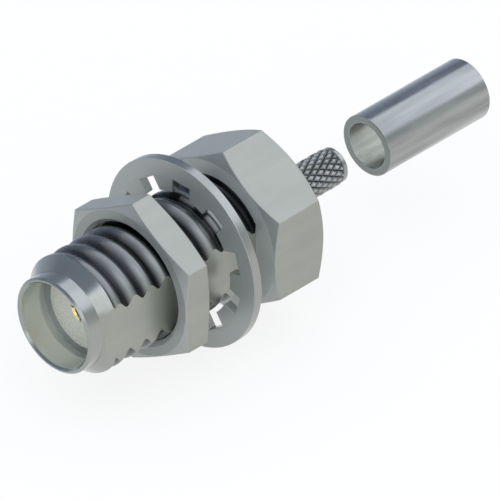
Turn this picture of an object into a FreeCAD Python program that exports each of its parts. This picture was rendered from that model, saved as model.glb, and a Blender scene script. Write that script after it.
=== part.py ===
# Coaxial bulkhead jack with a crimped cable end.
#
# The jack is turned about the Y axis, with +Z up. The origin is the centre of the panel seat, the
# front face of the hexagonal flange. The nose and its threaded barrel run towards -Y, and the
# cable side runs towards +Y. The barrel's anti-rotation flat faces +X. All sizes are millimetres.
import FreeCAD, Part
import os
import Sketcher

SIZES = {
    # body, from the nose to the rear face of its hexagon
    "barrel_length": 11.37,
    "thread_diameter": 6.35,
    "socket_diameter": 4.61,
    "socket_depth": 1.866,
    "undercut_depth": 0.195,
    "undercut_width": 0.55,
    "flat_wall": 0.16,
    "nose_length": 0.89,
    "cone_length": 0.62,
    "lip_width": 0.085,
    "lip_chamfer": 0.1,
    "hex_width": 8.0,
    "hex_length": 3.39,
    "hex_face_inset": 0.04,
    "hex_chamfer": 0.35,
    # insulators and the centre contact between them
    "insulator_diameter": 4.16,
    "front_insulator_length": 6.3,
    "pin_bore_diameter": 0.94,
    "pin_bore_depth": 2.9,
    "pin_bore_chamfer": 0.06,
    "finger_wall": 0.165,
    "finger_slot_width": 0.13,
    "finger_root": 0.4,
    "finger_count": 4,
    "contact_clearance": 0.015,
    "collar_height": 0.315,
    "collar_length": 0.6,
    "tail_recess": 0.35,
    "wire_cup_diameter": 0.4,
    "wire_cup_depth": 1.5,
    # crimp stem, pressed into the rear of the body
    "head_step": 0.32,
    "head_length": 2.5,
    "head_chamfer": 0.15,
    "stem_diameter": 1.986,
    "stem_length": 4.83,
    "stem_bore_diameter": 0.9,
    "tip_band_step": 0.053,
    "tip_band_length": 0.26,
    "tip_chamfer": 0.08,
    # loose crimp ferrule, apart behind the stem
    "braid_room": 0.242,
    "ferrule_wall": 0.41,
    "ferrule_length": 7.03,
    "ferrule_gap": 2.21,
    # internal-tooth lock washer
    "washer_diameter": 10.25,
    "washer_thickness": 0.5,
    "washer_gap": 2.05,
    "tooth_clearance": 0.215,
    "tooth_length": 0.72,
    "tooth_count": 10,
    "notch_width": 1.18,
    # hexagonal nut
    "nut_wall": 0.825,
    "nut_thickness": 1.65,
    "nut_gap": 1.95,
    "nut_clearance": 0.05,
    "nut_face_inset": 0.08,
    "nut_chamfer": 0.21,
    "countersink_depth": 0.225,
}

# radii that several pieces share, worked out from the sizes above
THREAD = "dims.thread_diameter / 2"
SOCKET = "dims.socket_diameter / 2"
UNDERCUT = f"{SOCKET} + dims.undercut_depth"
NOSE = f"{SOCKET} + 2 * dims.lip_chamfer + dims.lip_width"
INSULATOR = "dims.insulator_diameter / 2"
CONTACT = "dims.pin_bore_diameter / 2 + dims.finger_wall"
CONTACT_HOLE = f"{CONTACT} + dims.contact_clearance"
COLLAR = f"{CONTACT} + dims.collar_height"
HEAD = f"{INSULATOR} + dims.head_step"
STEM = "dims.stem_diameter / 2"
STEM_BORE = "dims.stem_bore_diameter / 2"
TIP_BAND = f"{STEM} - dims.tip_band_step"
FERRULE_INSIDE = f"{STEM} + dims.braid_room"
TOOTH_TIP = f"{THREAD} + dims.tooth_clearance"
HEX_FLAT = "dims.hex_width / 2"
NUT_FLAT = f"{THREAD} + dims.nut_wall"

# places along the axis that several pieces share
NOSE_TIP = "-dims.barrel_length"
SOCKET_FLOOR = f"{NOSE_TIP} + dims.socket_depth"
HEAD_FLOOR = "dims.hex_length - dims.head_length"

# the hexagons point a corner up, so their flats face +X and -X
HEX_SIDES = 6
HEX_FIRST_CORNER = 90

doc = FreeCAD.newDocument("bulkhead_jack")
sheet = doc.addObject("Spreadsheet::Sheet", "dims")
for row, (name, value) in enumerate(SIZES.items(), start=1):
    sheet.set(f"A{row}", name)
    sheet.set(f"B{row}", str(value))
    sheet.setAlias(f"B{row}", name)
doc.recompute()


def new_piece(label):
    """An empty body that stands for one separate piece of the jack."""
    piece = doc.addObject("PartDesign::Body", label)
    piece.Label = label
    return piece


def new_sketch(piece, name, role):
    """A sketch on one of the piece's own origin planes."""
    sketch = piece.newObject("Sketcher::SketchObject", name)
    plane = next(item for item in piece.Origin.OriginFeatures if item.Role == role)
    sketch.AttachmentSupport = [(plane, "")]
    sketch.MapMode = "FlatFace"
    doc.recompute()
    return sketch


def bind(sketch, constraint, expression):
    """Adds a driving constraint whose value follows the sheet."""
    index = sketch.addConstraint(constraint)
    sketch.setExpression(f"Constraints[{index}]", expression)


def number(sketch, expression):
    """The plain number that an expression gives now."""
    value = sketch.evalExpression(expression)
    return float(getattr(value, "Value", value))


def add_outline(sketch, corners):
    """A closed run of straight edges. Each corner is two expressions, across and along."""
    places = [FreeCAD.Vector(number(sketch, across), number(sketch, along), 0) for across, along in corners]
    first = sketch.GeometryCount
    for start, end in zip(places, places[1:] + places[:1]):
        sketch.addGeometry(Part.LineSegment(start, end), False)
    for step, (across, along) in enumerate(corners):
        edge = first + step
        following = first + (step + 1) % len(corners)
        sketch.addConstraint(Sketcher.Constraint("Coincident", edge, 2, following, 1))
        bind(sketch, Sketcher.Constraint("DistanceX", -1, 1, edge, 1, places[step].x), across)
        bind(sketch, Sketcher.Constraint("DistanceY", -1, 1, edge, 1, places[step].y), along)


def add_circle(sketch, radius):
    """A circle about the axis of the jack."""
    size = number(sketch, radius)
    edge = sketch.addGeometry(Part.Circle(FreeCAD.Vector(0, 0, 0), FreeCAD.Vector(0, 0, 1), size), False)
    sketch.addConstraint(Sketcher.Constraint("Coincident", edge, 3, -1, 1))
    bind(sketch, Sketcher.Constraint("Radius", edge, size), radius)


def turn(piece, name, corners):
    """Turns a half section about the Y axis. Each corner is a radius and a place along Y."""
    section = new_sketch(piece, f"{name}_section", "XY_Plane")
    add_outline(section, corners)
    turned = piece.newObject("PartDesign::Revolution", f"{name}_turned")
    turned.Profile = section
    turned.ReferenceAxis = (section, ["V_Axis"])
    turned.Angle = 360
    doc.recompute()
    return turned


def cut(piece, name, sketch, length, forward=True):
    """Pockets a sketch of the XZ plane along +Y, or along -Y where forward is False."""
    pocket = piece.newObject("PartDesign::Pocket", name)
    pocket.Profile = sketch
    pocket.Reversed = not forward
    pocket.setExpression("Length", length)
    before = piece.Shape.Volume
    doc.recompute()
    if not piece.Shape.Volume < before:
        raise RuntimeError(f"{name} cuts nothing")
    return pocket


def hex_corner(flat):
    """How far a hexagon's corners lie from the axis, given how far its flats do."""
    return f"({flat}) / cos(180 deg / {HEX_SIDES})"


def mill_hexagon(piece, name, flat, length):
    """Mills six flats on a turned disc that is as wide as the hexagon's corners."""
    corner = hex_corner(flat)
    sketch = new_sketch(piece, f"{name}_outline", "XZ_Plane")
    add_circle(sketch, f"{corner} + dims.thread_diameter")
    corners = []
    for side in range(HEX_SIDES):
        angle = HEX_FIRST_CORNER + 360 / HEX_SIDES * side
        corners.append((f"{corner} * cos({angle} deg)", f"{corner} * sin({angle} deg)"))
    add_outline(sketch, corners)
    return cut(piece, f"{name}_milled", sketch, length)


def repeat_around(piece, feature, sketch, count):
    """Repeats a cut at equal steps about the Y axis."""
    pattern = piece.newObject("PartDesign::PolarPattern", f"{feature.Name}_pattern")
    pattern.Originals = [feature]
    pattern.Axis = (sketch, ["N_Axis"])
    pattern.Angle = 360
    pattern.setExpression("Occurrences", count)
    piece.Tip = pattern
    doc.recompute()
    return pattern


def make_connector_body():
    """Nose, threaded barrel and hexagonal flange, turned and milled from one bar."""
    piece = new_piece("connector_body")
    flange_corner = hex_corner(HEX_FLAT)
    flange_face = f"{HEX_FLAT} - dims.hex_face_inset"
    undercut_start = f"{SOCKET_FLOOR} - dims.undercut_width"
    turn(piece, "body", [
        (f"{SOCKET} + dims.lip_chamfer", NOSE_TIP),
        (f"{NOSE} - dims.lip_chamfer", NOSE_TIP),
        (NOSE, f"{NOSE_TIP} + dims.lip_chamfer"),
        (NOSE, f"{NOSE_TIP} + dims.nose_length"),
        (THREAD, f"{NOSE_TIP} + dims.nose_length + dims.cone_length"),
        (THREAD, "0"),
        (flange_face, "0"),
        (flange_corner, "dims.hex_chamfer"),
        (flange_corner, "dims.hex_length - dims.hex_chamfer"),
        (flange_face, "dims.hex_length"),
        (HEAD, "dims.hex_length"),
        (HEAD, HEAD_FLOOR),
        (INSULATOR, HEAD_FLOOR),
        (INSULATOR, SOCKET_FLOOR),
        (UNDERCUT, SOCKET_FLOOR),
        (UNDERCUT, undercut_start),
        (SOCKET, undercut_start),
        (SOCKET, f"{NOSE_TIP} + dims.lip_chamfer"),
    ])
    mill_hexagon(piece, "flange", HEX_FLAT, "dims.hex_length")
    flat = new_sketch(piece, "flat_outline", "XZ_Plane")
    flat_distance = f"{UNDERCUT} + dims.flat_wall"
    outside = "dims.thread_diameter"
    add_outline(flat, [
        (flat_distance, f"-{outside}"),
        (outside, f"-{outside}"),
        (outside, outside),
        (flat_distance, outside),
    ])
    cut(piece, "flat_milled", flat, "dims.barrel_length", forward=False)
    return piece


def make_front_insulator():
    """White bead flush with the socket's floor, counterbored behind for the contact's collar."""
    piece = new_piece("front_insulator")
    collar_hole = f"{COLLAR} + dims.contact_clearance"
    collar_floor = "dims.front_insulator_length - dims.collar_length"
    turn(piece, "front_bead", [
        (CONTACT_HOLE, "0"),
        (INSULATOR, "0"),
        (INSULATOR, "dims.front_insulator_length"),
        (collar_hole, "dims.front_insulator_length"),
        (collar_hole, collar_floor),
        (CONTACT_HOLE, collar_floor),
    ])
    piece.setExpression("Placement.Base.y", SOCKET_FLOOR)
    return piece


def make_rear_insulator():
    """White bead that closes the collar in and ends at the stem's head."""
    piece = new_piece("rear_insulator")
    start = f"{SOCKET_FLOOR} + dims.front_insulator_length"
    length = f"{HEAD_FLOOR} - ({start})"
    turn(piece, "rear_bead", [
        (CONTACT_HOLE, "0"),
        (INSULATOR, "0"),
        (INSULATOR, length),
        (CONTACT_HOLE, length),
    ])
    piece.setExpression("Placement.Base.y", start)
    return piece


def make_centre_contact():
    """Gilt contact: a slotted socket in front, a collar to hold it and a cup for the wire behind."""
    piece = new_piece("centre_contact")
    bore = "dims.pin_bore_diameter / 2"
    cup = "dims.wire_cup_diameter / 2"
    collar_end = "dims.front_insulator_length"
    collar_start = f"{collar_end} - dims.collar_length"
    tail_end = f"{HEAD_FLOOR} - ({SOCKET_FLOOR}) - dims.tail_recess"
    turn(piece, "contact", [
        (f"{bore} + dims.pin_bore_chamfer", "0"),
        (CONTACT, "0"),
        (CONTACT, collar_start),
        (COLLAR, collar_start),
        (COLLAR, collar_end),
        (CONTACT, collar_end),
        (CONTACT, tail_end),
        (cup, tail_end),
        (cup, f"{tail_end} - dims.wire_cup_depth"),
        ("0", f"{tail_end} - dims.wire_cup_depth"),
        ("0", "dims.pin_bore_depth"),
        (bore, "dims.pin_bore_depth"),
        (bore, "dims.pin_bore_chamfer"),
    ])
    slot = new_sketch(piece, "finger_slot_outline", "XZ_Plane")
    half_width = "dims.finger_slot_width / 2"
    slot_top = f"{CONTACT} + dims.finger_wall"
    add_outline(slot, [
        (f"-{half_width}", "0"),
        (half_width, "0"),
        (half_width, slot_top),
        (f"-{half_width}", slot_top),
    ])
    cut_slot = cut(piece, "finger_slot", slot, "dims.pin_bore_depth - dims.finger_root")
    repeat_around(piece, cut_slot, slot, "dims.finger_count")
    piece.setExpression("Placement.Base.y", SOCKET_FLOOR)
    return piece


def make_crimp_stem():
    """Head pressed into the body and the thin stem that the braid is crimped on."""
    piece = new_piece("crimp_stem")
    head_front = "-dims.head_length"
    band_start = "dims.stem_length - dims.tip_band_length"
    turn(piece, "stem", [
        (STEM_BORE, head_front),
        (f"{HEAD} - dims.head_chamfer", head_front),
        (HEAD, f"{head_front} + dims.head_chamfer"),
        (HEAD, "0"),
        (STEM, "0"),
        (STEM, band_start),
        (TIP_BAND, band_start),
        (TIP_BAND, "dims.stem_length - dims.tip_chamfer"),
        (f"{TIP_BAND} - dims.tip_chamfer", "dims.stem_length"),
        (f"{STEM_BORE} + dims.tip_chamfer", "dims.stem_length"),
        (STEM_BORE, "dims.stem_length - dims.tip_chamfer"),
    ])
    piece.setExpression("Placement.Base.y", "dims.hex_length")
    return piece


def make_crimp_ferrule():
    """Plain tube that is slid over the braid and the stem, and crimped there."""
    piece = new_piece("crimp_ferrule")
    ring = new_sketch(piece, "ferrule_ring", "XZ_Plane")
    add_circle(ring, f"{FERRULE_INSIDE} + dims.ferrule_wall")
    add_circle(ring, FERRULE_INSIDE)
    tube = piece.newObject("PartDesign::Pad", "ferrule_tube")
    tube.Profile = ring
    tube.Reversed = True
    tube.setExpression("Length", "dims.ferrule_length")
    piece.setExpression("Placement.Base.y", "dims.hex_length + dims.stem_length + dims.ferrule_gap")
    return piece


def make_lock_washer():
    """Flat ring whose inner edge is cut into teeth that stand just clear of the thread."""
    piece = new_piece("lock_washer")
    ring = new_sketch(piece, "washer_ring", "XZ_Plane")
    add_circle(ring, "dims.washer_diameter / 2")
    add_circle(ring, TOOTH_TIP)
    blank = piece.newObject("PartDesign::Pad", "washer_blank")
    blank.Profile = ring
    blank.Reversed = True
    blank.setExpression("Length", "dims.washer_thickness")
    doc.recompute()
    notch = new_sketch(piece, "notch_outline", "XZ_Plane")
    half_width = "dims.notch_width / 2"
    notch_floor = f"{TOOTH_TIP} + dims.tooth_length"
    add_outline(notch, [
        (f"-{half_width}", "0"),
        (half_width, "0"),
        (half_width, notch_floor),
        (f"-{half_width}", notch_floor),
    ])
    cut_notch = cut(piece, "notch", notch, "dims.washer_thickness")
    repeat_around(piece, cut_notch, notch, "dims.tooth_count")
    piece.setExpression("Placement.Base.y", "-dims.washer_gap - dims.washer_thickness")
    return piece


def make_hex_nut():
    """Thin hexagonal nut, chamfered on both faces and countersunk at both ends of its bore."""
    piece = new_piece("hex_nut")
    corner = hex_corner(NUT_FLAT)
    face = f"{NUT_FLAT} - dims.nut_face_inset"
    bore = f"{THREAD} + dims.nut_clearance"
    turn(piece, "nut", [
        (f"{bore} + dims.countersink_depth", "0"),
        (face, "0"),
        (corner, "dims.nut_chamfer"),
        (corner, "dims.nut_thickness - dims.nut_chamfer"),
        (face, "dims.nut_thickness"),
        (f"{bore} + dims.countersink_depth", "dims.nut_thickness"),
        (bore, "dims.nut_thickness - dims.countersink_depth"),
        (bore, "dims.countersink_depth"),
    ])
    mill_hexagon(piece, "nut", NUT_FLAT, "dims.nut_thickness")
    washer_front = "-dims.washer_gap - dims.washer_thickness"
    piece.setExpression("Placement.Base.y", f"{washer_front} - dims.nut_gap - dims.nut_thickness")
    return piece


def check_document():
    """Stops where any feature has failed."""
    for item in doc.Objects:
        if {"Invalid", "Error"} & set(item.State):
            raise RuntimeError(f"{item.Label} is {item.State}")


def export(pieces):
    """Writes each piece to a file named by its label."""
    os.makedirs("parts", exist_ok=True)
    for piece in pieces:
        if piece.Shape.isNull() or not piece.Shape.isValid():
            raise RuntimeError(f"{piece.Label} has no valid shape")
    for piece in pieces:
        piece.Shape.exportStep(f"parts/{piece.Label}.step")


pieces = [
    make_connector_body(),
    make_front_insulator(),
    make_rear_insulator(),
    make_centre_contact(),
    make_crimp_stem(),
    make_crimp_ferrule(),
    make_lock_washer(),
    make_hex_nut(),
]
doc.recompute()
check_document()
export(pieces)
for piece in pieces:
    box = piece.Shape.BoundBox
    print(f"{piece.Label}: {piece.Shape.Volume:.3f} mm3, y {box.YMin:.3f} to {box.YMax:.3f}, "
          f"x {box.XMin:.3f} to {box.XMax:.3f}, z {box.ZMin:.3f} to {box.ZMax:.3f}")
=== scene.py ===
"""Looks of the bulkhead jack: the threaded body with its nut, lock washer, knurled stem and loose ferrule.

The jack is turned about the Y axis with +Z up, and its panel seat is at the origin, as in the frame.
The shapes are worked in millimetres and scaled to metres when each piece is finished.
"""
import math

import bmesh
import bpy
from mathutils import Matrix, Vector


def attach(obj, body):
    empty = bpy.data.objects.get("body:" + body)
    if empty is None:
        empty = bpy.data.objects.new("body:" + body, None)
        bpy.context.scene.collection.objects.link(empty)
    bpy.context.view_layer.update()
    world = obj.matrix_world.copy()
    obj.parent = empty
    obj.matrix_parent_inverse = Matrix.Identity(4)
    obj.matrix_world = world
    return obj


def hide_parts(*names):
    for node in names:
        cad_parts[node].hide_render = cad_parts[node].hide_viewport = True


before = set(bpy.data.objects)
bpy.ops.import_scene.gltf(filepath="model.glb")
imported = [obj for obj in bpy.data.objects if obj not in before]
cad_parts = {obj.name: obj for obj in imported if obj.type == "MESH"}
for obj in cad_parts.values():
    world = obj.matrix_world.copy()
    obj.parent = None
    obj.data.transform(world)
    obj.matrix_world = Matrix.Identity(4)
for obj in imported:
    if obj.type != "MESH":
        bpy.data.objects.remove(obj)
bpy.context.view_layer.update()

MILLIMETRE = 0.001
AXIS = (0, 1, 0)
STEPS_AROUND = 240
SHARP_ANGLE = 14

# how near points are one point, and surfaces one surface, and how near a fine cut goes through a point
SAME_POINT = 1e-4
SAME_SURFACE = 0.001
THIN_CUT = 1e-6

# the kinds of surface that a piece can have, each with its own finish
TURNED, FACED, SEAT, BORED, CHAMFERED, MILLED, CUT = range(7)

# a surface is faced off, or a chamfer, where this much of its normal lies along the axis,
# and a hexagon's chamfers lie outside this radius
FACE_TILT = 0.97
CHAMFER_TILT = 0.3
CHAMFER_REACH = 3.8

# how wide the softened edges are, and by how many degrees the surface turns at an edge to be softened
FLAT_EDGE = 0.045
FLAT_EDGE_ANGLE = 12
WASHER_EDGE = 0.035
WASHER_EDGE_ANGLE = 40
TUBE_EDGE = 0.035

# ---------------------------------------------------------------- camera

VIEW_AZIMUTH = math.radians(45)
VIEW_ELEVATION = math.radians(35.264)
VIEW_WIDTH = 24.63
VIEW_CENTRE = Vector((0.970, 1.276, -1.252))
LENS = 1500
SENSOR = 36


def place_camera():
    """A long lens from far off, which sees the jack as the drawing does, with hardly any perspective."""
    away = Vector((
        math.sin(VIEW_AZIMUTH) * math.cos(VIEW_ELEVATION),
        -math.cos(VIEW_AZIMUTH) * math.cos(VIEW_ELEVATION),
        math.sin(VIEW_ELEVATION),
    ))
    lens = bpy.data.cameras.new("long_lens")
    lens.lens = LENS
    lens.sensor_width = SENSOR
    lens.clip_start = 0.01
    lens.clip_end = 10
    camera = bpy.data.objects.new("camera", lens)
    bpy.context.scene.collection.objects.link(camera)
    distance = VIEW_WIDTH * LENS / SENSOR
    camera.location = (VIEW_CENTRE + away * distance) * MILLIMETRE
    camera.rotation_mode = "QUATERNION"
    camera.rotation_quaternion = (-away).to_track_quat("-Z", "Y")
    bpy.context.scene.camera = camera


# ---------------------------------------------------------------- shaping

def half_section(corners, rounding):
    """The closed outline that a piece is turned from, each corner a radius and a place along the axis."""
    section = bmesh.new()
    points = [section.verts.new((radius, along, 0)) for radius, along in corners]
    for start, end in zip(points, points[1:] + points[:1]):
        section.edges.new((start, end))
    if rounding:
        bmesh.ops.bevel(
            section, geom=points, offset=rounding, offset_type="OFFSET", segments=2,
            profile=0.5, affect="VERTICES", material=-1, clamp_overlap=True,
        )
    return section


def turn(section, steps=STEPS_AROUND):
    """Turns the outline once round the axis, and closes the seam."""
    bmesh.ops.spin(
        section, geom=section.verts[:] + section.edges[:], cent=(0, 0, 0), axis=AXIS,
        angle=math.tau, steps=steps, use_merge=True,
    )
    bmesh.ops.recalc_face_normals(section, faces=section.faces)
    return section


def mill_flat(shape, direction, distance):
    """Cuts away what lies past a plane and closes the cut with one flat face."""
    whole = shape.verts[:] + shape.edges[:] + shape.faces[:]
    found = bmesh.ops.bisect_plane(
        shape, geom=whole, dist=SAME_POINT, plane_co=direction * distance, plane_no=direction,
        clear_outer=True,
    )
    rim = [part for part in found["geom_cut"] if isinstance(part, bmesh.types.BMEdge)]
    bmesh.ops.edgeloop_fill(shape, edges=rim, mat_nr=MILLED, use_smooth=True)


def mill_hexagon(shape, distance):
    """Six flats round the axis, two of them facing +X and -X. Their edges are softened."""
    for side in range(6):
        angle = math.radians(60 * side)
        mill_flat(shape, Vector((math.cos(angle), 0, math.sin(angle))), distance)
    flats = [face for face in shape.faces if face.material_index == MILLED]
    soften(shape, sharp_edges(flats, FLAT_EDGE_ANGLE), FLAT_EDGE)


def soften(shape, edges, width):
    """Takes the sharpness off edges, as tumbling and plating do."""
    bmesh.ops.bevel(
        shape, geom=edges, offset=width, offset_type="OFFSET", segments=2, profile=0.5,
        affect="EDGES", material=-1, clamp_overlap=True,
    )


def sharp_edges(faces, least):
    """The edges of these faces where the surface turns by more than a number of degrees."""
    limit = math.radians(least)
    edges = {edge: None for face in faces for edge in face.edges}
    return [edge for edge in edges if len(edge.link_faces) == 2 and edge.calc_face_angle(0) > limit]


def surface_of_hexagon(face):
    """The kind of surface that a hexagon's face, chamfer or side has before its flats are milled."""
    middle = face.calc_center_median()
    if abs(face.normal.y) > FACE_TILT:
        return FACED
    if abs(face.normal.y) > CHAMFER_TILT and math.hypot(middle.x, middle.z) > CHAMFER_REACH:
        return CHAMFERED
    return TURNED


def finish_piece(name, shape, finishes, body, node):
    """Puts the finished mesh in the scene, in metres, in place of its CAD node."""
    bmesh.ops.scale(shape, vec=(MILLIMETRE,) * 3, verts=shape.verts)
    mesh = bpy.data.meshes.new(name)
    used = sorted({face.material_index for face in shape.faces})
    for face in shape.faces:
        face.smooth = True
        face.material_index = used.index(face.material_index)
    shape.to_mesh(mesh)
    shape.free()
    mesh.set_sharp_from_angle(angle=math.radians(SHARP_ANGLE))
    for surface in used:
        mesh.materials.append(finishes[surface])
    piece = bpy.data.objects.new(name, mesh)
    bpy.context.scene.collection.objects.link(piece)
    even = piece.modifiers.new("even_shading", "WEIGHTED_NORMAL")
    even.keep_sharp = True
    even.weight = 90
    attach(piece, body)
    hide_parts(node)


# ---------------------------------------------------------------- material effects

EFFECTS = {}

# how many times a metre each kind of mark comes round, and how much drawn lines are drawn out
FINE_RINGS, BROAD_RINGS = 16000, 3500
FINE_LINES, BROAD_LINES = 11000, 1500
FINE_LINE_STRETCH, BROAD_LINE_STRETCH = (1, 0.04, 1), (1, 0.1, 1)
CLOUDS, SPECKS = 420, 14000

# depths of the marks in metres
TOOL_MARK = 0.0000004
DRAWN_MARK = 0.0000003
CUT_MARK = 0.0000006
CHAMFER_MARK = 0.0000001
BEAD_SPECK = 0.000004

# how unevenly a graded tone changes
GRADING_NOISE = 0.24


def new_group(name, inputs, outputs):
    """An empty node group with named sockets. Each socket is a name, a kind and a value."""
    group = bpy.data.node_groups.new(name, "ShaderNodeTree")
    for title, kind, value in inputs:
        socket = group.interface.new_socket(title, in_out="INPUT", socket_type=kind)
        if value is not None:
            socket.default_value = value
    for title, kind in outputs:
        group.interface.new_socket(title, in_out="OUTPUT", socket_type=kind)
    return group, group.nodes.new("NodeGroupInput"), group.nodes.new("NodeGroupOutput")


def calculate(tree, operation, first, second=None, third=None):
    """A math node. Each operand is a socket or a number."""
    node = tree.nodes.new("ShaderNodeMath")
    node.operation = operation
    for socket, operand in zip(node.inputs, (first, second, third)):
        if operand is None:
            continue
        if isinstance(operand, bpy.types.NodeSocket):
            tree.links.new(operand, socket)
        else:
            socket.default_value = operand
    return node.outputs["Value"]


def use_effect(tree, name, place):
    """An effect's node in a material or in another effect, fed with the place on the object."""
    node = tree.nodes.new("ShaderNodeGroup")
    node.node_tree = EFFECTS[name]
    tree.links.new(place, node.inputs["Place"])
    return node


def noise(tree, vector, scale, detail, roughness=0.5):
    """A noise texture on a vector, from 0 to 1."""
    node = tree.nodes.new("ShaderNodeTexNoise")
    node.inputs["Scale"].default_value = scale
    node.inputs["Detail"].default_value = detail
    node.inputs["Roughness"].default_value = roughness
    tree.links.new(vector, node.inputs["Vector"])
    return node.outputs["Fac"]


def stretch(tree, vector, scale):
    """The vector with each part multiplied by its own number."""
    node = tree.nodes.new("ShaderNodeVectorMath")
    node.operation = "MULTIPLY"
    tree.links.new(vector, node.inputs[0])
    node.inputs[1].default_value = scale
    return node.outputs["Vector"]


def make_round_place():
    """Where a point of a turned piece lies: how far from the axis, and how far along it, in metres."""
    group, given, result = new_group(
        "round_place",
        [("Place", "NodeSocketVector", None)],
        [("Radius", "NodeSocketFloat"), ("Along", "NodeSocketFloat")],
    )
    parts = group.nodes.new("ShaderNodeSeparateXYZ")
    group.links.new(given.outputs["Place"], parts.inputs["Vector"])
    radius = calculate(group, "SQRT", calculate(
        group, "ADD",
        calculate(group, "MULTIPLY", parts.outputs["X"], parts.outputs["X"]),
        calculate(group, "MULTIPLY", parts.outputs["Z"], parts.outputs["Z"]),
    ))
    group.links.new(radius, result.inputs["Radius"])
    group.links.new(parts.outputs["Y"], result.inputs["Along"])
    return group


def make_turning_marks():
    """Fine rings that a lathe tool leaves, even round the axis and uneven along and across it."""
    group, given, result = new_group(
        "turning_marks",
        [("Place", "NodeSocketVector", None)],
        [("Height", "NodeSocketFloat"), ("Tone", "NodeSocketFloat")],
    )
    where = use_effect(group, "round_place", given.outputs["Place"])
    rings = group.nodes.new("ShaderNodeCombineXYZ")
    group.links.new(where.outputs["Radius"], rings.inputs["X"])
    group.links.new(where.outputs["Along"], rings.inputs["Y"])
    fine = noise(group, rings.outputs["Vector"], FINE_RINGS, 2)
    broad = noise(group, rings.outputs["Vector"], BROAD_RINGS, 2)
    group.links.new(fine, result.inputs["Height"])
    group.links.new(broad, result.inputs["Tone"])
    return group


def make_drawn_lines():
    """Fine lines along the axis, as drawing through a die or milling along it leaves."""
    group, given, result = new_group(
        "drawn_lines",
        [("Place", "NodeSocketVector", None)],
        [("Height", "NodeSocketFloat"), ("Tone", "NodeSocketFloat")],
    )
    place = given.outputs["Place"]
    fine = noise(group, stretch(group, place, FINE_LINE_STRETCH), FINE_LINES, 3)
    broad = noise(group, stretch(group, place, BROAD_LINE_STRETCH), BROAD_LINES, 2)
    group.links.new(fine, result.inputs["Height"])
    group.links.new(broad, result.inputs["Tone"])
    return group


def make_handling():
    """Soft cloudy marks of handling and plating, and small specks."""
    group, given, result = new_group(
        "handling",
        [("Place", "NodeSocketVector", None)],
        [("Cloud", "NodeSocketFloat"), ("Speck", "NodeSocketFloat")],
    )
    group.links.new(noise(group, given.outputs["Place"], CLOUDS, 4, 0.6), result.inputs["Cloud"])
    group.links.new(noise(group, given.outputs["Place"], SPECKS, 1), result.inputs["Speck"])
    return group


EFFECTS["round_place"] = make_round_place()
EFFECTS["turning_marks"] = make_turning_marks()
EFFECTS["drawn_lines"] = make_drawn_lines()
EFFECTS["handling"] = make_handling()


def new_material(name):
    """An empty material: its node tree, its shader and its place on the object."""
    material = bpy.data.materials.new(name)
    material.use_nodes = True
    tree = material.node_tree
    shader = tree.nodes["Principled BSDF"]
    place = tree.nodes.new("ShaderNodeTexCoord").outputs["Object"]
    return material, tree, shader, place


def spread(tree, value, low, high, edge=0.32):
    """A noise value, which mostly lies between edge and 1 - edge, spread over a range of numbers."""
    node = tree.nodes.new("ShaderNodeMapRange")
    node.inputs["From Min"].default_value = edge
    node.inputs["From Max"].default_value = 1 - edge
    node.inputs["To Min"].default_value = low
    node.inputs["To Max"].default_value = high
    tree.links.new(value, node.inputs["Value"])
    return node.outputs["Result"]


def shade(tree, value, dark, light):
    """A colour between two, by a value from 0 to 1."""
    node = tree.nodes.new("ShaderNodeMix")
    node.data_type = "RGBA"
    node.inputs["A"].default_value = (*dark, 1)
    node.inputs["B"].default_value = (*light, 1)
    tree.links.new(value, node.inputs["Factor"])
    return node.outputs["Result"]


def emboss(tree, shader, height, depth):
    """Turns a height from 0 to 1 into a relief of a depth in metres."""
    node = tree.nodes.new("ShaderNodeBump")
    node.inputs["Strength"].default_value = 1
    node.inputs["Distance"].default_value = depth
    tree.links.new(height, node.inputs["Height"])
    tree.links.new(node.outputs["Normal"], shader.inputs["Normal"])


def metal(name, dark, light, rough, marks, depth, metallic=1.0, lined=0.4):
    """A metal finish: two near tones, a range of roughness, and tool marks of a depth in metres.

    The tones follow the tool marks by the share lined, and the cloudy marks of handling for the rest.
    """
    material, tree, shader, place = new_material(name)
    tool = use_effect(tree, marks, place)
    touch = use_effect(tree, "handling", place)
    blend = calculate(tree, "MULTIPLY_ADD", touch.outputs["Cloud"], 1 - lined, calculate(
        tree, "MULTIPLY", tool.outputs["Tone"], lined,
    ))
    tree.links.new(shade(tree, spread(tree, blend, 0, 1), dark, light), shader.inputs["Base Color"])
    tree.links.new(spread(tree, touch.outputs["Cloud"], *rough), shader.inputs["Roughness"])
    shader.inputs["Metallic"].default_value = metallic
    emboss(tree, shader, tool.outputs["Height"], depth)
    return material


def graded_metal(name, measure, start, end, start_tone, end_tone, rough):
    """A metal whose tone changes between two radii, or two places along the axis, in millimetres; in this
    script the change paints shade into hollows.
    """
    material, tree, shader, place = new_material(name)
    tool = use_effect(tree, "turning_marks", place)
    touch = use_effect(tree, "handling", place)
    rise = tree.nodes.new("ShaderNodeMapRange")
    rise.inputs["From Min"].default_value = start * MILLIMETRE
    rise.inputs["From Max"].default_value = end * MILLIMETRE
    tree.links.new(use_effect(tree, "round_place", place).outputs[measure], rise.inputs["Value"])
    uneven = calculate(tree, "MULTIPLY_ADD", touch.outputs["Cloud"], GRADING_NOISE, -GRADING_NOISE / 2)
    level = calculate(tree, "ADD", rise.outputs["Result"], uneven)
    tree.links.new(shade(tree, level, start_tone, end_tone), shader.inputs["Base Color"])
    tree.links.new(spread(tree, touch.outputs["Cloud"], *rough), shader.inputs["Roughness"])
    shader.inputs["Metallic"].default_value = 1
    emboss(tree, shader, tool.outputs["Height"], CUT_MARK)
    return material


# ---------------------------------------------------------------- body

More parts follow.
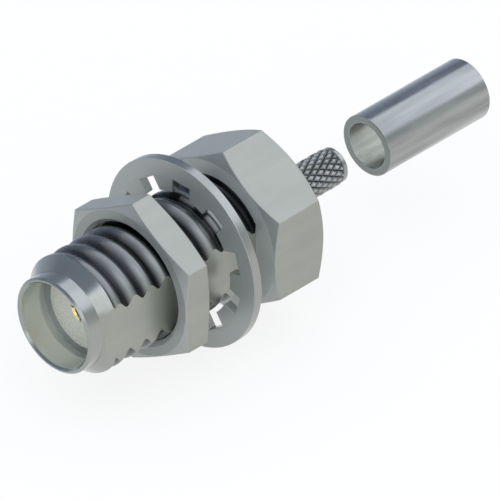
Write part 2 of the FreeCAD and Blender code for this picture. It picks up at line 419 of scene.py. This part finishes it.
NOSE_TIP = -11.37
NOSE_RADIUS = 2.59
FLANGE_FACE = 3.96
HEX_BACK = 3.39
HEX_DISTANCE = 4.0
HEX_CORNER = HEX_DISTANCE / math.cos(math.radians(30))
SOCKET_RADIUS = 2.305
UNDERCUT_RADIUS = 2.5
BEAD_RADIUS = 2.08
BEAD_FACE = -9.504
# how far down the contact's bore its gold darkens, as painted shade
CONTACT_MOUTH = 0.45
HEAD_RADIUS = 2.4
HEAD_FLOOR = 0.89
FLAT_DISTANCE = 2.66
THREAD_RADIUS = 3.175
THREAD_DEPTH = 0.22
THREAD_PITCH = 1.09
THREAD_START = -9.86
THREAD_END = 0.0
THREAD_CREST = -9.49
THREAD_CREST_ANGLE = math.radians(45)
THREAD_RUN_IN = 0.22
THREAD_RELIEF = 0.3
RELIEF_SLOPE = 0.15
THREAD_ROWS = 196


def smooth_step(value):
    """An even rise from 0 to 1 with soft ends."""
    value = min(1.0, max(0.0, value))
    return value * value * (3 - 2 * value)


def thread_depth_at(angle, along):
    """How far the barrel is cut: a rounded right-hand wave that runs into a relief at the flange."""
    turns = (along - THREAD_CREST) / THREAD_PITCH - (THREAD_CREST_ANGLE - angle) / math.tau
    wave = 0.5 - 0.5 * math.cos(math.tau * turns)
    thread = wave * smooth_step((along - THREAD_START) / THREAD_RUN_IN)
    relief = smooth_step((along - THREAD_END + THREAD_RELIEF) / RELIEF_SLOPE)
    return THREAD_DEPTH * max(thread, relief)


def make_body():
    """Nose, threaded barrel with one flat, and the hexagonal flange."""
    section = half_section([
        (2.405, NOSE_TIP),
        (2.49, NOSE_TIP),
        (NOSE_RADIUS, -11.27),
        (NOSE_RADIUS, -10.48),
        (THREAD_RADIUS, THREAD_START),
        (THREAD_RADIUS, THREAD_END),
        (FLANGE_FACE, THREAD_END),
        (HEX_CORNER, 0.35),
        (HEX_CORNER, 3.04),
        (FLANGE_FACE, HEX_BACK),
        (HEAD_RADIUS, HEX_BACK),
        (HEAD_RADIUS, HEAD_FLOOR),
        (BEAD_RADIUS, HEAD_FLOOR),
        (BEAD_RADIUS, BEAD_FACE),
        (UNDERCUT_RADIUS, BEAD_FACE),
        (UNDERCUT_RADIUS, -10.054),
        (SOCKET_RADIUS, -10.054),
        (SOCKET_RADIUS, -11.27),
    ], 0)
    barrel = [
        edge for edge in section.edges
        if all(abs(point.co.x - THREAD_RADIUS) < SAME_POINT for point in edge.verts)
    ]
    bmesh.ops.subdivide_edges(section, edges=barrel, cuts=THREAD_ROWS - 1)
    shape = turn(section)
    for point in shape.verts:
        radius = math.hypot(point.co.x, point.co.z)
        if abs(radius - THREAD_RADIUS) < SAME_POINT and point.co.y < THREAD_END - SAME_POINT:
            angle = math.atan2(point.co.z, point.co.x)
            shrink = 1 - thread_depth_at(angle, point.co.y) / radius
            point.co.x *= shrink
            point.co.z *= shrink
    for face in shape.faces:
        middle = face.calc_center_median()
        outside = math.hypot(middle.x, middle.z) > UNDERCUT_RADIUS + SAME_SURFACE
        if outside and THREAD_START < middle.y < THREAD_END:
            face.material_index = CUT
        # the socket's walls and undercut take the lightened bore finish, as painted light
        elif not outside and middle.y < BEAD_FACE and abs(face.normal.y) < CHAMFER_TILT:
            face.material_index = BORED
        # the flange's front face, in the gap behind the washer, takes the lightened seat finish as painted
        # light
        elif abs(face.normal.y) > FACE_TILT and abs(middle.y - THREAD_END) < SAME_SURFACE:
            face.material_index = SEAT
        else:
            face.material_index = surface_of_hexagon(face)
    mill_hexagon(shape, HEX_DISTANCE)
    mill_barrel_flat(shape)
    return shape


def mill_barrel_flat(shape):
    """The anti-rotation flat along the barrel, up to the flange."""
    faces = [face for face in shape.faces if face.calc_center_median().y < THREAD_END - THIN_CUT]
    parts = {part: None for face in faces for part in (face, *face.edges, *face.verts)}
    found = bmesh.ops.bisect_plane(
        shape, geom=list(parts), dist=THIN_CUT, plane_co=(FLAT_DISTANCE, 0, 0), plane_no=(1, 0, 0),
        clear_outer=True,
    )
    rim = [part for part in found["geom_cut"] if isinstance(part, bmesh.types.BMEdge)]
    ends = [
        point for point in {point: None for edge in rim for point in edge.verts}
        if abs(point.co.y) < SAME_POINT and sum(edge in rim for edge in point.link_edges) == 1
    ]
    chord = shape.edges.new(ends)
    bmesh.ops.edgeloop_fill(shape, edges=rim + [chord], mat_nr=MILLED, use_smooth=True)
    # the flange face left open beside the flat takes the same lightened seat finish, as painted light
    seat = [
        edge for edge in shape.edges
        if len(edge.link_faces) == 1 and edge is not chord and abs(edge.verts[0].co.y) < SAME_POINT
    ]
    bmesh.ops.edgeloop_fill(shape, edges=seat + [chord], mat_nr=SEAT, use_smooth=True)
    bmesh.ops.recalc_face_normals(shape, faces=shape.faces)


# ---------------------------------------------------------------- nut, washer, stem and ferrule

NUT_FRONT = -6.15
NUT_BACK = -4.50
NUT_FACE = 3.92
NUT_BORE = 3.225
COUNTERSINK = 3.45


def make_nut():
    """Thin hexagonal nut, chamfered and countersunk on both faces."""
    shape = turn(half_section([
        (COUNTERSINK, NUT_FRONT),
        (NUT_FACE, NUT_FRONT),
        (HEX_CORNER, -5.94),
        (HEX_CORNER, -4.71),
        (NUT_FACE, NUT_BACK),
        (COUNTERSINK, NUT_BACK),
        (NUT_BORE, -4.725),
        (NUT_BORE, -5.925),
    ], 0))
    for face in shape.faces:
        middle = face.calc_center_median()
        # the countersinks and bore take the lightened seat finish, as painted light in the nut's hollow
        if math.hypot(middle.x, middle.z) < COUNTERSINK - SAME_SURFACE:
            face.material_index = SEAT
        else:
            face.material_index = surface_of_hexagon(face)
    mill_hexagon(shape, HEX_DISTANCE)
    return shape


WASHER_INSIDE = 3.39
WASHER_OUTSIDE = 5.125
WASHER_FRONT = -2.55
WASHER_BACK = -2.053
TEETH = 10
NOTCH_HALF_WIDTH = 0.59
NOTCH_FLOOR = 4.11


def make_washer():
    """Flat ring with ten teeth inside: one notch is cut in a tenth of the ring and turned round it."""
    shape = bmesh.new()
    inner = shape.verts.new((0, WASHER_BACK, WASHER_INSIDE))
    outer = shape.verts.new((0, WASHER_BACK, WASHER_OUTSIDE))
    spoke = shape.edges.new((inner, outer))
    tenth = math.tau / TEETH
    back_half = Matrix.Rotation(-tenth / 2, 3, "Y")
    bmesh.ops.rotate(shape, cent=(0, 0, 0), matrix=back_half, verts=shape.verts)
    bmesh.ops.spin(
        shape, geom=[inner, outer, spoke], cent=(0, 0, 0), axis=AXIS, angle=tenth,
        steps=STEPS_AROUND // TEETH,
    )
    for place, direction in (
        ((NOTCH_HALF_WIDTH, 0, 0), (1, 0, 0)),
        ((-NOTCH_HALF_WIDTH, 0, 0), (1, 0, 0)),
        ((0, 0, NOTCH_FLOOR), (0, 0, 1)),
    ):
        whole = shape.verts[:] + shape.edges[:] + shape.faces[:]
        bmesh.ops.bisect_plane(shape, geom=whole, dist=THIN_CUT, plane_co=place, plane_no=direction)
    waste = []
    for face in shape.faces:
        middle = face.calc_center_median()
        if abs(middle.x) < NOTCH_HALF_WIDTH and middle.z < NOTCH_FLOOR:
            waste.append(face)
    bmesh.ops.delete(shape, geom=waste, context="FACES")
    whole = shape.verts[:] + shape.edges[:] + shape.faces[:]
    bmesh.ops.spin(
        shape, geom=whole, cent=(0, 0, 0), axis=AXIS, angle=math.tau, steps=TEETH, use_duplicate=True,
    )
    bmesh.ops.remove_doubles(shape, verts=shape.verts, dist=SAME_POINT)
    raised = bmesh.ops.extrude_face_region(shape, geom=shape.faces[:], use_keep_orig=True)
    moved = [part for part in raised["geom"] if isinstance(part, bmesh.types.BMVert)]
    bmesh.ops.translate(shape, verts=moved, vec=(0, WASHER_FRONT - WASHER_BACK, 0))
    bmesh.ops.recalc_face_normals(shape, faces=shape.faces)
    for face in shape.faces:
        face.material_index = SEAT if abs(face.normal.y) > FACE_TILT else TURNED
    soften(shape, sharp_edges(shape.faces, WASHER_EDGE_ANGLE), WASHER_EDGE)
    bmesh.ops.remove_doubles(shape, verts=shape.verts, dist=SAME_POINT)
    return shape


STEM_BORE = 0.45
STEM_END = 8.22
BAND_RADIUS = 0.94
KNURL_START = 3.50
KNURL_ROOT = 0.893
KNURL_DEPTH = 0.1
KNURL_STARTS = 16
KNURL_PITCH = 0.68
KNURL_DIVISIONS = 4
KNURL_ROWS = 13
KNURL_FLAT = 0.75


def knurl_height(column, row):
    """Height of the knurl on its fine grid: pyramids between two crossing families of grooves."""
    heights = []
    for line in (column + row, column - row):
        place = (line / KNURL_DIVISIONS) % 2
        heights.append(min(place, 2 - place))
    return min(*heights, KNURL_FLAT) / KNURL_FLAT


def make_stem():
    """Head pressed into the body, diamond-knurled stem and its plain end band."""
    knurl_end = KNURL_START + KNURL_ROWS * KNURL_PITCH / 2
    section = half_section([
        (STEM_BORE, HEAD_FLOOR),
        (2.25, HEAD_FLOOR),
        (HEAD_RADIUS, 1.04),
        (HEAD_RADIUS, 3.35),
        (2.36, HEX_BACK),
        (KNURL_ROOT, HEX_BACK),
        (KNURL_ROOT, KNURL_START),
        (KNURL_ROOT, knurl_end),
        (BAND_RADIUS, knurl_end + 0.04),
        (BAND_RADIUS, 8.14),
        (0.86, STEM_END),
        (0.53, STEM_END),
        (STEM_BORE, 8.14),
    ], 0)
    along = [
        edge for edge in section.edges
        if min(point.co.y for point in edge.verts) > KNURL_START - SAME_POINT
        and all(abs(point.co.x - KNURL_ROOT) < SAME_POINT for point in edge.verts)
    ]
    bmesh.ops.subdivide_edges(section, edges=along, cuts=KNURL_ROWS * KNURL_DIVISIONS - 1)
    columns = KNURL_STARTS * 2 * KNURL_DIVISIONS
    shape = turn(section, columns)
    grooves = []
    for point in shape.verts:
        radius = math.hypot(point.co.x, point.co.z)
        inside = KNURL_START - SAME_POINT < point.co.y < knurl_end + SAME_POINT
        if inside and abs(radius - KNURL_ROOT) < SAME_POINT:
            column = round(math.atan2(point.co.z, point.co.x) / math.tau * columns)
            row = round((point.co.y - KNURL_START) / (KNURL_PITCH / 2 / KNURL_DIVISIONS))
            height = knurl_height(column, row)
            if height < SAME_POINT:
                grooves.append(point)
            elif 0 < row < KNURL_ROWS * KNURL_DIVISIONS:
                grow = 1 + KNURL_DEPTH * height / radius
                point.co.x *= grow
                point.co.z *= grow
    for face in shape.faces:
        middle = face.calc_center_median()
        radius = math.hypot(middle.x, middle.z)
        outside = KNURL_ROOT - SAME_SURFACE < radius < KNURL_ROOT + KNURL_DEPTH
        if outside and HEX_BACK + SAME_SURFACE < middle.y < knurl_end:
            face.material_index = CUT
        elif abs(face.normal.y) > FACE_TILT:
            face.material_index = FACED
    bmesh.ops.connect_verts(shape, verts=grooves)
    return shape


FERRULE_BORE = 1.235
FERRULE_RADIUS = 1.645
FERRULE_FRONT = 10.43
FERRULE_BACK = 17.46


def make_ferrule():
    """Plain drawn tube, its ends just softened."""
    shape = turn(half_section([
        (FERRULE_BORE, FERRULE_FRONT),
        (FERRULE_RADIUS, FERRULE_FRONT),
        (FERRULE_RADIUS, FERRULE_BACK),
        (FERRULE_BORE, FERRULE_BACK),
    ], TUBE_EDGE))
    for face in shape.faces:
        middle = face.calc_center_median()
        # the bore takes the lightened bore finish, as painted light
        if math.hypot(middle.x, middle.z) < FERRULE_BORE + SAME_SURFACE:
            face.material_index = BORED
        elif abs(face.normal.y) > FACE_TILT:
            face.material_index = FACED
    return shape


# ---------------------------------------------------------------- finishes of the kept CAD nodes

def make_bead_white():
    """White fluoroplastic, matt and faintly speckled, as faced on a lathe."""
    material, tree, shader, place = new_material("bead_white")
    touch = use_effect(tree, "handling", place)
    speck = spread(tree, touch.outputs["Speck"], 0, 1)
    tree.links.new(shade(tree, speck, (0.42, 0.42, 0.365), (0.68, 0.68, 0.60)), shader.inputs["Base Color"])
    tree.links.new(spread(tree, touch.outputs["Cloud"], 0.45, 0.6), shader.inputs["Roughness"])
    emboss(tree, shader, touch.outputs["Speck"], BEAD_SPECK)
    return material


# ---------------------------------------------------------------- stage

FLOOR_HEIGHT = -5.15
FLOOR_SIDE = 2000
FLOOR_GLOW = 0.85
CARD_TOP = 12

# the studio's tone by how high one looks: 0 is straight down or level, 1 straight up
STUDIO_TONES = (
    (0.0, (0.98, 0.98, 0.98)),
    (0.22, (0.66, 0.70, 0.71)),
    (0.46, (0.57, 0.61, 0.64)),
    (0.60, (1.20, 1.28, 1.40)),
)


def make_floor():
    """A large pale sheet under the jack, white to the eye and in the metal, that keeps a soft shadow."""
    shape = bmesh.new()
    bmesh.ops.create_grid(shape, x_segments=1, y_segments=1, size=FLOOR_SIDE / 2 * MILLIMETRE)
    bmesh.ops.translate(shape, verts=shape.verts, vec=(0, 0, FLOOR_HEIGHT * MILLIMETRE))
    mesh = bpy.data.meshes.new("floor")
    shape.to_mesh(mesh)
    shape.free()
    material, tree, shader, _ = new_material("floor_white")
    shader.inputs["Base Color"].default_value = (0.8, 0.8, 0.8, 1)
    shader.inputs["Roughness"].default_value = 1
    shader.inputs["Specular IOR Level"].default_value = 0
    glow = tree.nodes.new("ShaderNodeEmission")
    glow.inputs["Color"].default_value = (1, 1, 1, 1)
    glow.inputs["Strength"].default_value = 1.0
    path = tree.nodes.new("ShaderNodeLightPath")
    seen = calculate(tree, "MAXIMUM", path.outputs["Is Camera Ray"], calculate(
        tree, "MAXIMUM", path.outputs["Is Glossy Ray"], path.outputs["Is Transmission Ray"],
    ))
    mix = tree.nodes.new("ShaderNodeMixShader")
    tree.links.new(calculate(tree, "MULTIPLY", seen, FLOOR_GLOW), mix.inputs["Fac"])
    tree.links.new(shader.outputs["BSDF"], mix.inputs[1])
    tree.links.new(glow.outputs["Emission"], mix.inputs[2])
    tree.links.new(mix.outputs["Shader"], tree.nodes["Material Output"].inputs["Surface"])
    mesh.materials.append(material)
    floor = bpy.data.objects.new("floor", mesh)
    bpy.context.scene.collection.objects.link(floor)


def make_world():
    """A plain studio: pale at the floor's edge, dimmer and cooler above it, with a bright ceiling."""
    world = bpy.data.worlds.new("studio")
    bpy.context.scene.world = world
    world.use_nodes = True
    tree = world.node_tree
    direction = tree.nodes.new("ShaderNodeTexCoord").outputs["Generated"]
    parts = tree.nodes.new("ShaderNodeSeparateXYZ")
    tree.links.new(direction, parts.inputs["Vector"])
    ramp = tree.nodes.new("ShaderNodeValToRGB")
    ramp.color_ramp.interpolation = "EASE"
    stops = ramp.color_ramp.elements
    stops.remove(stops[1])
    for number, (height, tone) in enumerate(STUDIO_TONES):
        stop = stops.new(height) if number else stops[0]
        stop.color = (*tone, 1)
    tree.links.new(parts.outputs["Z"], ramp.inputs["Fac"])
    tree.links.new(ramp.outputs["Color"], tree.nodes["Background"].inputs["Color"])
    tree.nodes["Background"].inputs["Strength"].default_value = 1.0


def make_card(name, width, height, turned, centre, foot_tone, top_tone):
    """An upright card, out of sight, that the metal shows. Its tone changes from the floor to CARD_TOP."""
    shape = bmesh.new()
    bmesh.ops.create_grid(shape, x_segments=1, y_segments=1, size=0.5)
    bmesh.ops.scale(shape, vec=(width, height, 1), verts=shape.verts)
    for angle, about in ((90, "X"), (turned, "Z")):
        turning = Matrix.Rotation(math.radians(angle), 3, about)
        bmesh.ops.rotate(shape, cent=(0, 0, 0), matrix=turning, verts=shape.verts)
    bmesh.ops.translate(shape, verts=shape.verts, vec=centre)
    bmesh.ops.scale(shape, vec=(MILLIMETRE,) * 3, verts=shape.verts)
    mesh = bpy.data.meshes.new(name)
    shape.to_mesh(mesh)
    shape.free()
    material, tree, shader, place = new_material(name)
    level = tree.nodes.new("ShaderNodeSeparateXYZ")
    tree.links.new(place, level.inputs["Vector"])
    rise = tree.nodes.new("ShaderNodeMapRange")
    rise.inputs["From Min"].default_value = FLOOR_HEIGHT * MILLIMETRE
    rise.inputs["From Max"].default_value = CARD_TOP * MILLIMETRE
    tree.links.new(level.outputs["Z"], rise.inputs["Value"])
    tree.links.new(shade(tree, rise.outputs["Result"], foot_tone, top_tone), shader.inputs["Base Color"])
    shader.inputs["Roughness"].default_value = 1
    shader.inputs["Specular IOR Level"].default_value = 0
    mesh.materials.append(material)
    card = bpy.data.objects.new(name, mesh)
    bpy.context.scene.collection.objects.link(card)
    card.visible_camera = False
    card.visible_diffuse = False
    card.visible_shadow = False


def make_lamp(name, place, size, radiance, colour):
    """A square soft box aimed at the origin, its place and side in millimetres, with an even radiance."""
    light = bpy.data.lights.new(name, "AREA")
    light.shape = "SQUARE"
    light.size = size * MILLIMETRE
    light.energy = radiance * math.pi * (size * MILLIMETRE) ** 2
    light.color = colour
    lamp = bpy.data.objects.new(name, light)
    lamp.location = Vector(place) * MILLIMETRE
    lamp.rotation_mode = "QUATERNION"
    lamp.rotation_quaternion = (-Vector(place)).to_track_quat("-Z", "Y")
    bpy.context.scene.collection.objects.link(lamp)


# ---------------------------------------------------------------- assembly

def dress(node, material):
    """Gives a kept CAD node its finish."""
    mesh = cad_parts[node].data
    mesh.materials.clear()
    mesh.materials.append(material)


STEEL_DARK = (0.325, 0.333, 0.314)
STEEL_LIGHT = (0.370, 0.378, 0.358)

STEEL = {
    TURNED: metal("turned_steel", STEEL_DARK, STEEL_LIGHT, (0.18, 0.26), "turning_marks", TOOL_MARK),
    FACED: metal(
        "faced_steel", (0.275, 0.295, 0.283), (0.315, 0.335, 0.322), (0.40, 0.48),
        "turning_marks", TOOL_MARK, metallic=0.5,
    ),
    # faced steel lightened to nearly twice the tone of faced_steel: painted light on the flange face behind
    # the washer and in the nut's countersinks, where shade falls
    SEAT: metal(
        "seat_steel_painted_light", (0.52, 0.55, 0.535), (0.58, 0.61, 0.595), (0.36, 0.44),
        "turning_marks", TOOL_MARK, metallic=0.5,
    ),
    # steel lightened to about twice the turned steel's tone: painted light on the socket's walls and
    # undercut, which lie in shade
    BORED: metal(
        "reamed_steel_painted_light", (0.70, 0.72, 0.67), (0.76, 0.78, 0.73), (0.34, 0.42),
        "turning_marks", DRAWN_MARK, metallic=0.85,
    ),
    CHAMFERED: metal(
        "chamfered_steel", (0.325, 0.340, 0.333), (0.370, 0.386, 0.378), (0.32, 0.40),
        "turning_marks", CHAMFER_MARK, metallic=0.7,
    ),
    MILLED: metal(
        "milled_steel", (0.311, 0.318, 0.284), (0.356, 0.363, 0.326), (0.30, 0.38),
        "drawn_lines", TOOL_MARK, metallic=0.75,
    ),
}
WASHER = STEEL | {SEAT: metal(
    "washer_steel", (0.33, 0.35, 0.34), (0.375, 0.395, 0.385), (0.36, 0.44),
    "turning_marks", TOOL_MARK, metallic=0.5,
)}
# the thread's tone runs from near black at the root to steel at the crest: painted shade in the grooves
THREAD = STEEL | {CUT: graded_metal(
    "thread_steel_painted_root_shade", "Radius", THREAD_RADIUS - THREAD_DEPTH, THREAD_RADIUS,
    (0.030, 0.031, 0.034), (0.230, 0.235, 0.234), (0.24, 0.32),
)}
# the knurl's tone runs from near black in the grooves to steel on the pyramids: painted shade in the
# grooves
KNURL = STEEL | {CUT: graded_metal(
    "knurled_steel_painted_groove_shade", "Radius", KNURL_ROOT, KNURL_ROOT + KNURL_DEPTH,
    (0.06, 0.063, 0.07), (0.42, 0.43, 0.41), (0.22, 0.30),
)}
DRAWN = STEEL | {
    TURNED: metal(
        "drawn_steel", (0.265, 0.275, 0.270), (0.415, 0.422, 0.412), (0.18, 0.24),
        "drawn_lines", DRAWN_MARK, lined=0.9,
    ),
    # the bore is over twice as light as the tube's outside: painted light inside the tube, where shade
    # falls
    BORED: metal(
        "bright_bore_painted_light", (0.88, 0.89, 0.86), (0.93, 0.94, 0.91), (0.18, 0.24),
        "drawn_lines", DRAWN_MARK, metallic=0.9,
    ),
    FACED: metal(
        "cut_end_steel", (0.220, 0.238, 0.230), (0.255, 0.272, 0.262), (0.40, 0.48),
        "turning_marks", TOOL_MARK, metallic=0.5,
    ),
}
# gold at the contact's mouth, darkening to brown down its bore: painted shade in the bore
CONTACT_GOLD_BORE_SHADE = graded_metal(
    "contact_gold", "Along", BEAD_FACE, BEAD_FACE + CONTACT_MOUTH,
    (0.90, 0.72, 0.34), (0.36, 0.23, 0.06), (0.18, 0.28),
)
BEAD_WHITE = make_bead_white()

place_camera()
finish_piece("threaded_body", make_body(), THREAD, "root", "connector_body")
finish_piece("nut", make_nut(), STEEL, "hex_nut", "hex_nut")
finish_piece("washer", make_washer(), WASHER, "lock_washer", "lock_washer")
finish_piece("knurled_stem", make_stem(), KNURL, "root", "crimp_stem")
finish_piece("ferrule", make_ferrule(), DRAWN, "crimp_ferrule", "crimp_ferrule")
dress("centre_contact", CONTACT_GOLD_BORE_SHADE)
dress("front_insulator", BEAD_WHITE)
dress("rear_insulator", BEAD_WHITE)
make_floor()
make_world()
make_card("side_card", 75, 38, 90, (-20, 22, 14), (0.68, 0.73, 0.83), (0.31, 0.35, 0.43))
make_card("front_card", 132, 67, 0, (-54, -45, 28.4), (0.34, 0.39, 0.45), (0.34, 0.39, 0.46))
make_lamp("key_box", (75, 130, 172), 130, 0.29, (1.0, 1.0, 1.16))
make_lamp("strip_box", (-78, 133, 172), 34, 0.3, (0.35, 0.35, 1.0))
make_lamp("fill_box", (150, -190, 170), 280, 0.88, (0.97, 1.0, 1.02))
make_lamp("side_box", (190, -55, 45), 120, 0.62, (1.0, 1.0, 0.82))
bpy.context.scene.view_settings.view_transform = "Standard"
